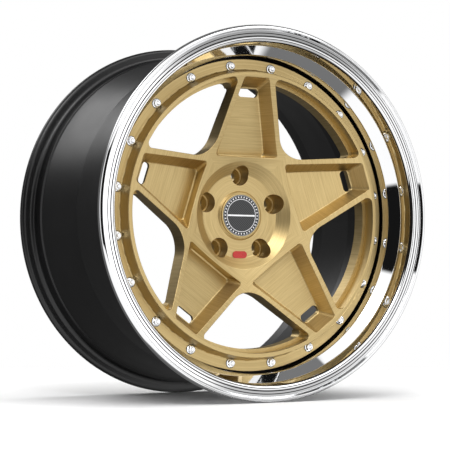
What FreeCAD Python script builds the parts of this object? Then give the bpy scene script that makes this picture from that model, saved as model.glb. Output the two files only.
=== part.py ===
import FreeCAD, Part
import math
import os
from FreeCAD import Vector

# Three-piece forged racing wheel, in millimetres. The wheel's axis is Y, its street side faces -Y,
# +Z is up and the origin is midway between the two rim flanges' outer edges, on the axis.

# Rim: a 20 by 10.5 inch J contour
BEAD_WIDTH = 266.7
BEAD_SEAT_RADIUS = 256.4
BEAD_SEAT_FALL = 1.7
BEAD_SEAT_LENGTH = 20.3
BEAD_CORNER_ROUND = 6.5
FLANGE_HEIGHT = 17.6
FLANGE_WIDTH = 14.15
FLANGE_ROUND = 6.0
HUMP_HEIGHT = 1.5
HUMP_OFFSET = 4.5
WELL_DEPTH = 16.4
WELL_LENGTH = 69.5
BARREL_WALL = 4.8
LIP_WALL = 5.7

# Stepped dish of the outer lip, from the lip's front edge inwards
DISH_DEPTH = 63.5
DISH_STEP_FRONT_DEPTH = 30.5
DISH_STEP_REAR_DEPTH = 45.0
DISH_STEP_RISE = 13.9
LIP_FACE_DEPTH = 3.7
LIP_FACE_ROUND = 9.0
LIP_RIM_WIDTH = 7.0

# Stack of flanges that the assembly bolts clamp together
DISC_FLANGE = 12.0
LIP_FLANGE = 5.0
BARREL_FLANGE = 5.5
FLANGE_REACH = 22.3
PILOT_CLEARANCE = 0.1
DISC_EDGE_GAP = 3.1
SEALANT_GROOVE = 2.5

# Assembly bolts
BOLTS_PER_SPOKE = 4
BOLT_INSET = 13.1
BOLT_RADIUS = 4.0
BOLT_HOLE_CLEARANCE = 0.1
BOLT_SPOTFACE_MARGIN = 0.9
BOLT_SPOTFACE_DEPTH = 1.2
BOLT_COLLAR_WIDTH = 2.6
BOLT_COLLAR_HEIGHT = 1.8
BOLT_HEAD_WIDTH = 1.7
BOLT_HEAD_HEIGHT = 6.4
NUT_COLLAR_WIDTH = 4.0
NUT_COLLAR_HEIGHT = 1.6
NUT_WALL = 2.0
NUT_HEIGHT = 8.0
BOLT_PROTRUSION = 2.0

# Centre disc
SPOKES = 5
SPOKE_PITCH = 360.0 / SPOKES
SPOKE_HALF_WIDTH = 53.6
SPOKE_WIDTH_OFFSET = 31.5
SPOKE_TIP_HALF_WIDTH = 30.1
RIB_WIDTH = 9.2
RIB_EDGE_ROUND = 0.8
RIB_BOW = 1.6
RIB_BOW_ROUND = 800.0
SPOKE_ROOT_BACK = 26.5
SPOKE_ROOT_REACH = 16.0
SPOKE_END_BACK = 9.0
SPOKE_END_REACH = 9.5
WINDOW_INNER_ROUND = 40.0
WINDOW_CORNER_ROUND = 7.0
WINDOW_LEDGE_WIDTH = 6.0
LEDGE_MARGIN = 0.9
LEDGE_HEIGHT = 2.0
RING_DEPTH = 7.5
CREST_FOOT_OFFSET = 19.7
CREST_FOOT_WIDTH = 4.0
CREST_WIDTH = 5.2
CREST_HEIGHT = 21.0
RECESS_MARGIN = 20.5
RECESS_RIM_DEPTH = 18.5

# Spoke pockets and their end slots
POCKET_INNER_MARGIN = 6.9
POCKET_INNER_DEPTH = 16.9
POCKET_INNER_RUN = 1.0
POCKET_INNER_SIDE_RUN = 8.8
POCKET_OUTER_MARGIN = 3.2
POCKET_OUTER_DEPTH = 21.4
POCKET_OUTER_RUN = 12.2
POCKET_OUTER_SIDE_RUN = 9.4
POCKET_CORNER_ROUND = 7.0
POCKET_RIM_CORNER_ROUND = 4.5
POCKET_FLOOR_ROUND = 2.5
SLOT_OFFSET = 20.2
SLOT_LENGTH = 33.0
SLOT_WIDTH = 12.5
SLOT_ROUND = 5.5

# Hub
STUD_CIRCLE_RADIUS = 60.0
STUD_HOLE_RADIUS = 7.75
HUB_FACE_DEPTH = 14.5
HUB_FACE_MARGIN = 3.0
HUB_THICKNESS = 38.5
HUB_PAD_MARGIN = 19.0
HUB_BORE_RADIUS = 36.3
HUB_BORE_LENGTH = 16.0
LUG_POCKET_RADIUS = 14.9
LUG_POCKET_DEPTH = 22.0
LUG_SEAT_RADIUS = 12.0
LUG_SEAT_HALF_ANGLE = 30.0
PAD_RELIEF_RADIUS = 11.0
PAD_RELIEF_DEPTH = 8.0
BOSS_MARGIN = 1.2
BOSS_SLOPE_WIDTH = 2.6
BOSS_HEIGHT = 2.8

# Centre cap
CAP_BORE_RADIUS = 31.0
CAP_CLEARANCE = 0.05
CAP_RIM_WIDTH = 2.4
CAP_RIM_HEIGHT = 2.4
CAP_PLATE = 2.4
CAP_SKIRT_LENGTH = 22.0
CAP_SKIRT_WALL = 2.0
CAP_LEGS = 8
CAP_LEG_GAP = 5.0
CAP_LEG_LENGTH = 16.0
EMBLEM_MARGIN = 2.3
EMBLEM_THICKNESS = 1.5
EMBLEM_INSET = 1.3
SPRING_RING_WIRE = 0.8

# Badge on the hub face
BADGE_LENGTH = 24.0
BADGE_HEIGHT = 10.6
BADGE_THICKNESS = 1.2
BADGE_OFFSET = 1.5
BADGE_CLEARANCE = 0.15
BADGE_END_FLAT = 0.01

# Tyre valve, clamped through the well at the foot of the lowest window
VALVE_OFFSET = 16.5
VALVE_SEAT_CUT = 0.5
VALVE_SEAT_MARGIN = 0.8
STEM_RADIUS = 4.0
STEM_TIP_STEP = 0.15
STEM_FIT = 0.05
STEM_LENGTH = 34.5
STEM_BASE_WIDTH = 4.2
STEM_BASE_THICKNESS = 2.0
STEM_BORE_RADIUS = 1.5
GROMMET_COLLAR = 1.6
GROMMET_MARGIN = 1.0
GROMMET_THICKNESS = 2.5
WASHER_WIDTH = 4.0
WASHER_THICKNESS = 1.2
VALVE_NUT_WALL = 2.0
VALVE_NUT_HEIGHT = 5.0
CORE_CHAMBER_RADIUS = 2.6
CORE_CHAMBER_DEPTH = 19.0
CORE_BODY_LENGTH = 9.8
CORE_TOP_SINK = 1.5
CORE_BRIDGE = 3.0
PIN_RADIUS = 0.6
PIN_TOP_SINK = 0.6
PLUNGER_CLEARANCE = 0.6
PLUNGER_THICKNESS = 1.5
SEAL_THICKNESS = 1.2
SPRING_WIRE_RADIUS = 0.25
SPRING_TURNS = 5
VALVE_CAP_WALL = 1.1
VALVE_CAP_SKIRT = 8.0
VALVE_CAP_ROOF = 2.0
VALVE_CAP_RIBS = 24
CAP_GASKET_THICKNESS = 1.0
CAP_GASKET_MARGIN = 0.3

ORIGIN = Vector(0, 0, 0)
AXIS = Vector(0, 1, 0)
UP = Vector(0, 0, 1)
BEYOND = 20.0

# Radii that follow from the sizes above, from the flanges' edges inwards
WHEEL_RADIUS = BEAD_SEAT_RADIUS + FLANGE_HEIGHT
WHEEL_WIDTH = BEAD_WIDTH + 2 * FLANGE_WIDTH
WELL_RADIUS = BEAD_SEAT_RADIUS - WELL_DEPTH
LIP_BORE_RADIUS = WELL_RADIUS - LIP_WALL
BARREL_BORE_RADIUS = WELL_RADIUS - BARREL_WALL
FLANGE_BORE_RADIUS = LIP_BORE_RADIUS - FLANGE_REACH
BOLT_CIRCLE_RADIUS = LIP_BORE_RADIUS - BOLT_INSET
CREST_FOOT_RADIUS = LIP_BORE_RADIUS - CREST_FOOT_OFFSET
CREST_RADIUS = CREST_FOOT_RADIUS - CREST_FOOT_WIDTH
CREST_INNER_RADIUS = CREST_RADIUS - CREST_WIDTH
LEDGE_OUTER_RADIUS = CREST_INNER_RADIUS - LEDGE_MARGIN
WINDOW_OUTER_RADIUS = LEDGE_OUTER_RADIUS - WINDOW_LEDGE_WIDTH
POCKET_OUTER = CREST_INNER_RADIUS - POCKET_OUTER_MARGIN
SLOT_RADIUS = POCKET_OUTER - SLOT_OFFSET
RECESS_RADIUS = STUD_CIRCLE_RADIUS + RECESS_MARGIN
HUB_FACE_RADIUS = STUD_CIRCLE_RADIUS + HUB_FACE_MARGIN
HUB_PAD_RADIUS = STUD_CIRCLE_RADIUS + HUB_PAD_MARGIN
POCKET_INNER = RECESS_RADIUS + POCKET_INNER_MARGIN
SPOKE_WIDTH_AT = RECESS_RADIUS + SPOKE_WIDTH_OFFSET
SPOKE_SLOPE = (SPOKE_HALF_WIDTH - SPOKE_TIP_HALF_WIDTH) / (POCKET_OUTER - SPOKE_WIDTH_AT)
CAP_RIM_RADIUS = CAP_BORE_RADIUS + CAP_RIM_WIDTH
CAP_SKIRT_RADIUS = CAP_BORE_RADIUS - CAP_CLEARANCE
EMBLEM_RADIUS = CAP_RIM_RADIUS - EMBLEM_MARGIN
BOSS_TOP_RADIUS = CAP_RIM_RADIUS + BOSS_MARGIN
BOSS_BASE_RADIUS = BOSS_TOP_RADIUS + BOSS_SLOPE_WIDTH
BOLT_COLLAR_RADIUS = BOLT_RADIUS + BOLT_COLLAR_WIDTH
BOLT_HEAD_RADIUS = BOLT_RADIUS + BOLT_HEAD_WIDTH
BOLT_SPOTFACE_RADIUS = BOLT_COLLAR_RADIUS + BOLT_SPOTFACE_MARGIN
NUT_COLLAR_RADIUS = BOLT_RADIUS + NUT_COLLAR_WIDTH
STEM_TIP_RADIUS = STEM_RADIUS - STEM_TIP_STEP
STEM_BASE_RADIUS = STEM_RADIUS + STEM_BASE_WIDTH
GROMMET_RADIUS = STEM_BASE_RADIUS + GROMMET_MARGIN
WASHER_RADIUS = STEM_RADIUS + WASHER_WIDTH
VALVE_HOLE_RADIUS = STEM_RADIUS + STEM_FIT + GROMMET_COLLAR
VALVE_SEAT_RADIUS = GROMMET_RADIUS + VALVE_SEAT_MARGIN
PLUNGER_RADIUS = CORE_CHAMBER_RADIUS - PLUNGER_CLEARANCE
VALVE_CAP_RADIUS = STEM_TIP_RADIUS + STEM_FIT + VALVE_CAP_WALL

# Places along the axis that follow from the sizes above, from the street side inwards
LIP_FRONT_Y = -WHEEL_WIDTH / 2
DISH_STEP_FRONT_Y = LIP_FRONT_Y + DISH_STEP_FRONT_DEPTH
DISH_STEP_REAR_Y = LIP_FRONT_Y + DISH_STEP_REAR_DEPTH
FLANGE_FRONT_Y = LIP_FRONT_Y + DISH_DEPTH
LIP_FLANGE_Y = FLANGE_FRONT_Y + DISC_FLANGE
BARREL_FLANGE_Y = LIP_FLANGE_Y + LIP_FLANGE
BARREL_BACK_Y = BARREL_FLANGE_Y + BARREL_FLANGE
WELL_REAR_Y = BARREL_BACK_Y + WELL_LENGTH
CREST_Y = FLANGE_FRONT_Y - CREST_HEIGHT
LEDGE_Y = FLANGE_FRONT_Y - LEDGE_HEIGHT
RING_BACK_Y = LIP_FLANGE_Y + RING_DEPTH
RECESS_RIM_Y = FLANGE_FRONT_Y + RECESS_RIM_DEPTH
RIB_SLOPE = (CREST_Y - RECESS_RIM_Y) / (CREST_INNER_RADIUS - RECESS_RADIUS)
HUB_FACE_Y = RECESS_RIM_Y + HUB_FACE_DEPTH
HUB_PAD_Y = HUB_FACE_Y + HUB_THICKNESS
BOSS_TOP_Y = HUB_FACE_Y - BOSS_HEIGHT
EMBLEM_SEAT_Y = BOSS_TOP_Y - CAP_RIM_HEIGHT + EMBLEM_INSET
VALVE_Y = BARREL_BACK_Y + VALVE_OFFSET


def rounded_wire(corners, place):
    """A closed wire through (a, b, corner radius) points, each put in space by place()."""
    points = [Vector(a, b, 0) for a, b, radius in corners]
    turns = []
    for index, (a, b, radius) in enumerate(corners):
        here = points[index]
        back = (points[index - 1] - here).normalize()
        ahead = (points[(index + 1) % len(points)] - here).normalize()
        if radius == 0:
            turns.append((here, None, here))
            continue
        half = back.getAngle(ahead) / 2
        reach = radius / math.tan(half)
        middle = here + (back + ahead).normalize() * (radius / math.sin(half) - radius)
        turns.append((here + back * reach, middle, here + ahead * reach))
    edges = []
    for index, (start, middle, end) in enumerate(turns):
        if middle is not None:
            edges.append(Part.Arc(place(start), place(middle), place(end)).toShape())
        following = turns[(index + 1) % len(turns)][0]
        edges.append(Part.LineSegment(place(end), place(following)).toShape())
    return Part.Wire(edges)


def ring(profile):
    """A solid of revolution about the wheel's axis from (radius, y, corner radius) points."""
    wire = rounded_wire(profile, lambda p: Vector(p.x, p.y, 0))
    return Part.Face(wire).revolve(ORIGIN, AXIS, 360)


def valve_ring(profile):
    """A solid of revolution about the valve's axis from (radius, z, corner radius) points."""
    wire = rounded_wire(profile, lambda p: Vector(p.x, VALVE_Y, p.y))
    return Part.Face(wire).revolve(Vector(0, VALVE_Y, 0), UP, 360)


def prism(outline, front_y, back_y):
    """A solid with an (x, z, corner radius) outline, reaching from front_y to back_y."""
    wire = rounded_wire(outline, lambda p: Vector(p.x, front_y, p.y))
    return Part.Face(wire).extrude(AXIS * (back_y - front_y))


def cylinder(radius, front_y, back_y, x=0.0, z=0.0):
    """A cylinder along the wheel's axis."""
    return Part.makeCylinder(radius, back_y - front_y, Vector(x, front_y, z), AXIS)


def turned(shape, angle):
    """A copy of a shape turned about the wheel's axis, anticlockwise from the street side."""
    copy = shape.copy()
    copy.rotate(ORIGIN, AXIS, -angle)
    return copy


def around(shape, count, first=0.0):
    """Copies of a shape spaced evenly about the wheel's axis."""
    return [turned(shape, first + index * 360.0 / count) for index in range(count)]


def bolt_angles():
    """Angles of the assembly bolts, counted from the topmost spoke."""
    count = SPOKES * BOLTS_PER_SPOKE
    step = 360.0 / count
    return [step * (index + 0.5) for index in range(count)]


def bolt_holes(front_y, back_y):
    """The ring of clearance holes for the assembly bolts."""
    radius = BOLT_RADIUS + BOLT_HOLE_CLEARANCE
    hole = cylinder(radius, front_y - BEYOND, back_y + BEYOND, z=BOLT_CIRCLE_RADIUS)
    return [turned(hole, angle) for angle in bolt_angles()]


def rib_top_y(radius):
    """Place along the axis of the cone between the hub recess's rim and the crest."""
    return RECESS_RIM_Y + (radius - RECESS_RADIUS) * RIB_SLOPE


def between(first, second, share):
    """The point a share of the way from the first to the second."""
    return first + (second - first) * share


# Outer lip and inner barrel

def tyre_contour(side):
    """Flange, bead seat and hump on one side (-1 street, 1 inboard), from the flange's edge inwards."""
    edge_y = side * WHEEL_WIDTH / 2
    bead_y = side * BEAD_WIDTH / 2
    seat_end_y = bead_y - side * BEAD_SEAT_LENGTH
    seat_end_radius = BEAD_SEAT_RADIUS - BEAD_SEAT_FALL
    hump_y = seat_end_y - side * HUMP_OFFSET
    return [
        (WHEEL_RADIUS, edge_y, FLANGE_ROUND),
        (WHEEL_RADIUS, bead_y, FLANGE_ROUND),
        (BEAD_SEAT_RADIUS, bead_y, BEAD_CORNER_ROUND),
        (seat_end_radius, seat_end_y, 2),
        (seat_end_radius + HUMP_HEIGHT, hump_y, 3),
        (seat_end_radius - HUMP_HEIGHT / 2, hump_y - side * HUMP_OFFSET, 4),
    ]


def make_outer_lip():
    """Polished street-side rim half with a stepped dish and a bolting flange."""
    dish_radius = LIP_BORE_RADIUS + DISH_STEP_RISE
    face_y = LIP_FRONT_Y + LIP_FACE_DEPTH
    rim_radius = WHEEL_RADIUS - LIP_RIM_WIDTH
    profile = [
        (FLANGE_BORE_RADIUS, BARREL_FLANGE_Y, 0),
        (FLANGE_BORE_RADIUS, LIP_FLANGE_Y, 0.5),
        (LIP_BORE_RADIUS, LIP_FLANGE_Y, 1),
        (LIP_BORE_RADIUS, DISH_STEP_REAR_Y, 4),
        (dish_radius, DISH_STEP_FRONT_Y, 4),
        (dish_radius + 0.6, face_y, LIP_FACE_ROUND),
        (rim_radius - 1.2, face_y, 0.5),
        (rim_radius, LIP_FRONT_Y, 0.6),
    ] + tyre_contour(-1) + [
        (WELL_RADIUS, DISH_STEP_REAR_Y + LIP_WALL, 6),
        (WELL_RADIUS, BARREL_FLANGE_Y - SEALANT_GROOVE, 0),
        (WELL_RADIUS - SEALANT_GROOVE, BARREL_FLANGE_Y, 0),
    ]
    return ring(profile).cut(bolt_holes(LIP_FLANGE_Y, BARREL_FLANGE_Y))


def make_inner_barrel():
    """Inboard rim half with the drop centre, and the seats that the valve clamps on."""
    contour = tyre_contour(1)
    slope_top_radius, slope_top_y, top_round = contour[-1]
    seat_bore = slope_top_radius - BARREL_WALL
    profile = [
        (FLANGE_BORE_RADIUS, BARREL_FLANGE_Y, 0),
        (WELL_RADIUS - SEALANT_GROOVE, BARREL_FLANGE_Y, 0),
        (WELL_RADIUS, BARREL_FLANGE_Y + SEALANT_GROOVE, 0),
        (WELL_RADIUS, WELL_REAR_Y, 20),
    ] + contour[::-1] + [
        (WHEEL_RADIUS - 11, WHEEL_WIDTH / 2, 4),
        (seat_bore + 1.5, WHEEL_WIDTH / 2 - 9, 8),
        (seat_bore, slope_top_y + 4, 12),
        (BARREL_BORE_RADIUS, WELL_REAR_Y + 2, 20),
        (BARREL_BORE_RADIUS, BARREL_BACK_Y, 3),
        (FLANGE_BORE_RADIUS, BARREL_BACK_Y, 0.5),
    ]
    barrel = ring(profile).cut(bolt_holes(BARREL_FLANGE_Y, BARREL_BACK_Y))
    hole = valve_ring([(0, -WELL_RADIUS - BEYOND, 0), (VALVE_HOLE_RADIUS, -WELL_RADIUS - BEYOND, 0),
                       (VALVE_HOLE_RADIUS, -WELL_RADIUS + BEYOND, 0), (0, -WELL_RADIUS + BEYOND, 0)])
    outer_seat = Part.makeCylinder(VALVE_SEAT_RADIUS, BEYOND, Vector(0, VALVE_Y, valve_outer_z() - BEYOND))
    inner_seat = Part.makeCylinder(VALVE_SEAT_RADIUS, BEYOND, Vector(0, VALVE_Y, valve_inner_z()))
    return barrel.cut([hole, outer_seat, inner_seat])


def make_rim_sealant():
    """Bead of sealant that fills the groove where the two rim halves meet."""
    return ring([
        (WELL_RADIUS - SEALANT_GROOVE, BARREL_FLANGE_Y, 0),
        (WELL_RADIUS, BARREL_FLANGE_Y - SEALANT_GROOVE, 0),
        (WELL_RADIUS + 1, BARREL_FLANGE_Y, 2),
        (WELL_RADIUS, BARREL_FLANGE_Y + SEALANT_GROOVE, 0),
    ])


# Centre disc

def spoke_half_width(height, inset=0.0):
    """Half of a spoke's width at a height up the spoke, less an inset from its edge."""
    return SPOKE_HALF_WIDTH - (height - SPOKE_WIDTH_AT) * SPOKE_SLOPE - inset


def disc_blank():
    """The turned forging: hub, cone of the spokes, crest ring and bolting flange."""
    pad_edge = HUB_PAD_RADIUS
    bore_end_y = HUB_PAD_Y - HUB_BORE_LENGTH
    pilot = FLANGE_BORE_RADIUS - PILOT_CLEARANCE
    edge = LIP_BORE_RADIUS - DISC_EDGE_GAP
    spoke_end = WINDOW_OUTER_RADIUS - SPOKE_END_REACH
    rib_middle = between(RECESS_RADIUS, CREST_INNER_RADIUS, 0.5)
    return ring([
        (CAP_BORE_RADIUS, bore_end_y, 0),
        (CAP_BORE_RADIUS, BOSS_TOP_Y, 0),
        (BOSS_TOP_RADIUS, BOSS_TOP_Y, 0.5),
        (BOSS_BASE_RADIUS, HUB_FACE_Y, 0.8),
        (HUB_FACE_RADIUS, HUB_FACE_Y, 4),
        (RECESS_RADIUS, RECESS_RIM_Y, 3),
        (rib_middle, rib_top_y(rib_middle) - RIB_BOW, RIB_BOW_ROUND),
        (CREST_INNER_RADIUS, CREST_Y, 3),
        (CREST_RADIUS, CREST_Y, 1.5),
        (CREST_FOOT_RADIUS, FLANGE_FRONT_Y, 2),
        (edge, FLANGE_FRONT_Y, 0.8),
        (edge, LIP_FLANGE_Y, 0.5),
        (pilot, LIP_FLANGE_Y, 0),
        (pilot, RING_BACK_Y, 0.5),
        (spoke_end + 2, RING_BACK_Y, 2),
        (spoke_end, RING_BACK_Y - SPOKE_END_BACK, 4),
        (pad_edge + SPOKE_ROOT_REACH, HUB_PAD_Y - SPOKE_ROOT_BACK, 12),
        (pad_edge + 3, HUB_PAD_Y - 14, 6),
        (pad_edge, HUB_PAD_Y, 1.5),
        (HUB_BORE_RADIUS + 1, HUB_PAD_Y, 0),
        (HUB_BORE_RADIUS, HUB_PAD_Y - 1, 0),
        (HUB_BORE_RADIUS, bore_end_y, 0),
    ])


def window_prism(outer_radius, front_y, back_y):
    """Opening between two spokes, centred on +Z, with rounded corners and a round outer edge."""
    half_pitch = math.radians(SPOKE_PITCH / 2)
    taper = math.atan(SPOKE_SLOPE)
    half_opening = half_pitch + taper
    corner = (SPOKE_HALF_WIDTH + SPOKE_WIDTH_AT * math.tan(taper)) * math.cos(taper)
    apex = corner / math.sin(half_opening)
    reach = outer_radius * 1.4
    side = (reach * math.sin(half_opening), apex + reach * math.cos(half_opening))
    wedge = prism([(0, apex, WINDOW_INNER_ROUND), (side[0], side[1], 0), (-side[0], side[1], 0)],
                  front_y, back_y)
    opening = wedge.common(cylinder(outer_radius, front_y, back_y))
    corners = [edge for edge in opening.Edges
               if abs(edge.tangentAt(edge.FirstParameter).y) > 0.99
               and abs(math.hypot(edge.CenterOfMass.x, edge.CenterOfMass.z) - outer_radius) < 0.01]
    return opening.makeFillet(WINDOW_CORNER_ROUND, corners)


def pocket_tool():
    """Drafted pocket in the face of the topmost spoke, deeper towards the rim."""
    def point(height, depth):
        """Point at a depth under the ribs' tops, on the spoke's centre line."""
        return Vector(0, rib_top_y(height) + depth, height)

    floor_inner = point(POCKET_INNER + POCKET_INNER_RUN, POCKET_INNER_DEPTH)
    floor_outer = point(POCKET_OUTER - POCKET_OUTER_RUN, POCKET_OUTER_DEPTH)
    low_floor = spoke_half_width(floor_inner.z, RIB_WIDTH + POCKET_INNER_SIDE_RUN)
    high_floor = spoke_half_width(floor_outer.z, RIB_WIDTH + POCKET_OUTER_SIDE_RUN)
    low_rim = spoke_half_width(POCKET_INNER, RIB_WIDTH)
    high_rim = spoke_half_width(POCKET_OUTER, RIB_WIDTH)

    def level(share):
        """The pocket's outline, from its floor (0) to the ribs' tops (1) and above them."""
        inner = between(floor_inner, point(POCKET_INNER, 0), share)
        outer = between(floor_outer, point(POCKET_OUTER, 0), share)
        low = between(low_floor, low_rim, share)
        high = between(high_floor, high_rim, share)
        length = (outer - inner).Length
        along = (outer - inner).normalize()
        corner = between(POCKET_CORNER_ROUND, POCKET_RIM_CORNER_ROUND, share)
        corners = [(low, 0, corner), (high, length, corner),
                   (-high, length, corner), (-low, 0, corner)]
        return rounded_wire(corners, lambda p: inner + Vector(p.x, 0, 0) + along * p.y)

    tool = Part.makeLoft([level(0), level(1.5)], True, True)
    middle = between(floor_inner, floor_outer, 0.5)
    floor = min(tool.Faces, key=lambda face: (face.CenterOfMass - middle).Length)
    return tool.makeFillet(POCKET_FLOOR_ROUND, floor.Edges)


def slot_tool():
    """Through slot at the outer end of the topmost spoke's pocket."""
    half = SLOT_LENGTH / 2
    low = SLOT_RADIUS - SLOT_WIDTH / 2
    high = SLOT_RADIUS + SLOT_WIDTH / 2
    outline = [(half, low, SLOT_ROUND), (half, high, SLOT_ROUND),
               (-half, high, SLOT_ROUND), (-half, low, SLOT_ROUND)]
    return prism(outline, CREST_Y, RING_BACK_Y + BEYOND)


def lug_tool():
    """Lug nut pocket, cone seat and stud hole on the stud circle, at the topmost spoke."""
    floor_y = HUB_FACE_Y + LUG_POCKET_DEPTH
    seat_depth = (LUG_SEAT_RADIUS - STUD_HOLE_RADIUS) / math.tan(math.radians(LUG_SEAT_HALF_ANGLE))
    wire = rounded_wire([
        (0, CREST_Y, 0), (LUG_POCKET_RADIUS, CREST_Y, 0), (LUG_POCKET_RADIUS, floor_y, 1.5),
        (LUG_SEAT_RADIUS, floor_y, 0), (STUD_HOLE_RADIUS, floor_y + seat_depth, 0),
        (STUD_HOLE_RADIUS, HUB_PAD_Y + BEYOND, 0), (0, HUB_PAD_Y + BEYOND, 0),
    ], lambda p: Vector(p.x, p.y, STUD_CIRCLE_RADIUS))
    return Part.Face(wire).revolve(Vector(0, 0, STUD_CIRCLE_RADIUS), AXIS, 360)


def make_centre_disc():
    """Five-spoke forged centre with windows, pockets, slots, lug holes and a ring of bolt holes."""
    through = window_prism(WINDOW_OUTER_RADIUS, CREST_Y - BEYOND, HUB_PAD_Y)
    ledge = window_prism(LEDGE_OUTER_RADIUS, CREST_Y - BEYOND, LEDGE_Y)
    relief = cylinder(PAD_RELIEF_RADIUS, HUB_PAD_Y - PAD_RELIEF_DEPTH, HUB_PAD_Y + BEYOND,
                      z=STUD_CIRCLE_RADIUS)
    spotface = cylinder(BOLT_SPOTFACE_RADIUS, CREST_Y - BEYOND, FLANGE_FRONT_Y + BOLT_SPOTFACE_DEPTH,
                        z=BOLT_CIRCLE_RADIUS)
    tools = []
    for tool in (through, ledge, relief):
        tools += around(tool, SPOKES, SPOKE_PITCH / 2)
    for tool in (pocket_tool(), slot_tool(), lug_tool()):
        tools += around(tool, SPOKES)
    tools += [turned(spotface, angle) for angle in bolt_angles()]
    tools += bolt_holes(FLANGE_FRONT_Y, LIP_FLANGE_Y)
    tools.append(badge_prism(BADGE_CLEARANCE, CREST_Y))
    disc = disc_blank().cut(tools).Solids[0]
    return disc.makeFillet(RIB_EDGE_ROUND, [edge for edge in disc.Edges if is_rib_edge(edge)])


def is_rib_edge(edge):
    """Whether an edge bounds the ribs' tops: it lies on them and isn't a turned circle."""
    radii = []
    for point in edge.discretize(9):
        radius = math.hypot(point.x, point.z)
        height = rib_top_y(min(radius, CREST_INNER_RADIUS)) - point.y
        if not RECESS_RADIUS + 1.5 < radius < CREST_RADIUS - 1.5 or not -1.4 < height < RIB_BOW + 1:
            return False
        radii.append(radius)
    full_circle = max(radii) - min(radii) < 0.05 and edge.Length > SPOKE_HALF_WIDTH * 2
    return edge.Length > RIB_EDGE_ROUND and not full_circle


def badge_prism(margin, front_y):
    """Pill shape below the centre cap, from the hub face to front_y, with a margin all round."""
    half = BADGE_LENGTH / 2 + margin
    middle = BADGE_OFFSET - STUD_CIRCLE_RADIUS
    low = middle - BADGE_HEIGHT / 2 - margin
    high = middle + BADGE_HEIGHT / 2 + margin
    radius = (high - low) / 2 - BADGE_END_FLAT
    outline = [(half, low, radius), (half, high, radius), (-half, high, radius), (-half, low, radius)]
    return prism(outline, front_y, HUB_FACE_Y)


def make_hub_badge():
    """Plain badge on the hub face, in a seat that is cut level with the face."""
    return badge_prism(0, HUB_FACE_Y - BADGE_THICKNESS)


# Assembly bolts and nuts

def polygon_prism(sides, corner_radius, front_y, back_y, z):
    """A regular prism along the wheel's axis."""
    corners = []
    for index in range(sides):
        angle = 2 * math.pi * (index + 0.5) / sides
        corners.append((corner_radius * math.cos(angle), z + corner_radius * math.sin(angle), 0))
    return prism(corners, front_y, back_y)


def twelve_point_prism(corner_radius, front_y, back_y, z):
    """Two hexagons turned against each other, as on a twelve-point head."""
    hexagon = polygon_prism(6, corner_radius, front_y, back_y, z)
    other = hexagon.copy()
    other.rotate(Vector(0, 0, z), AXIS, 30)
    return hexagon.fuse(other).removeSplitter()


def make_assembly_bolts():
    """Twelve-point collar bolts, heads on the street side."""
    z = BOLT_CIRCLE_RADIUS
    seat_y = FLANGE_FRONT_Y + BOLT_SPOTFACE_DEPTH
    collar_y = seat_y - BOLT_COLLAR_HEIGHT
    head_y = seat_y - BOLT_HEAD_HEIGHT
    end_y = BARREL_BACK_Y + NUT_HEIGHT + BOLT_PROTRUSION
    shank = cylinder(BOLT_RADIUS, seat_y - 1, end_y, z=z)
    collar = cylinder(BOLT_COLLAR_RADIUS, collar_y, seat_y, z=z)
    head = twelve_point_prism(BOLT_HEAD_RADIUS, head_y, collar_y, z)
    dome = Part.makeCone(BOLT_HEAD_RADIUS * 0.8, BOLT_HEAD_RADIUS * 0.8 + BOLT_HEAD_HEIGHT,
                         BOLT_HEAD_HEIGHT, Vector(0, head_y, z), AXIS)
    dimple = Part.makeCone(BOLT_HEAD_RADIUS * 0.5, BOLT_HEAD_RADIUS * 0.4, 1,
                           Vector(0, head_y, z), AXIS)
    bolt = shank.fuse([collar, head.common(dome)]).cut(dimple)
    return Part.makeCompound([turned(bolt, angle) for angle in bolt_angles()])


def make_assembly_nuts():
    """Collar nuts behind the barrel's flange."""
    z = BOLT_CIRCLE_RADIUS
    corner_radius = 2 * (BOLT_RADIUS + NUT_WALL) / math.sqrt(3)
    collar = cylinder(NUT_COLLAR_RADIUS, BARREL_BACK_Y, BARREL_BACK_Y + NUT_COLLAR_HEIGHT, z=z)
    body = polygon_prism(6, corner_radius, BARREL_BACK_Y, BARREL_BACK_Y + NUT_HEIGHT, z)
    hole = cylinder(BOLT_RADIUS + STEM_FIT, BARREL_BACK_Y - BEYOND, BARREL_BACK_Y + BEYOND, z=z)
    nut = collar.fuse(body).cut(hole)
    return Part.makeCompound([turned(nut, angle) for angle in bolt_angles()])


# Centre cap

def make_cap_body():
    """Cap with a rim that rests on the hub's boss and a skirt of sprung legs in its bore."""
    rim_y = BOSS_TOP_Y - CAP_RIM_HEIGHT
    end_y = BOSS_TOP_Y + CAP_SKIRT_LENGTH
    plate_y = EMBLEM_SEAT_Y + CAP_PLATE
    bore = CAP_SKIRT_RADIUS - CAP_SKIRT_WALL
    pocket = EMBLEM_RADIUS + CAP_CLEARANCE
    body = ring([
        (0, EMBLEM_SEAT_Y, 0), (pocket, EMBLEM_SEAT_Y, 0), (pocket, rim_y, 0.2),
        (CAP_RIM_RADIUS, rim_y, 0.9), (CAP_RIM_RADIUS, BOSS_TOP_Y, 0.3),
        (CAP_SKIRT_RADIUS, BOSS_TOP_Y, 0), (CAP_SKIRT_RADIUS, end_y, 0.6),
        (bore, end_y, 0.3), (bore, plate_y, 1), (0, plate_y, 0),
    ])
    half = CAP_LEG_GAP / 2
    gap = prism([(-half, 0, 0), (half, 0, 0), (half, CAP_BORE_RADIUS + 1, 0),
                 (-half, CAP_BORE_RADIUS + 1, 0)], end_y - CAP_LEG_LENGTH, end_y + 1)
    return body.cut(around(gap, CAP_LEGS))


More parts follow.
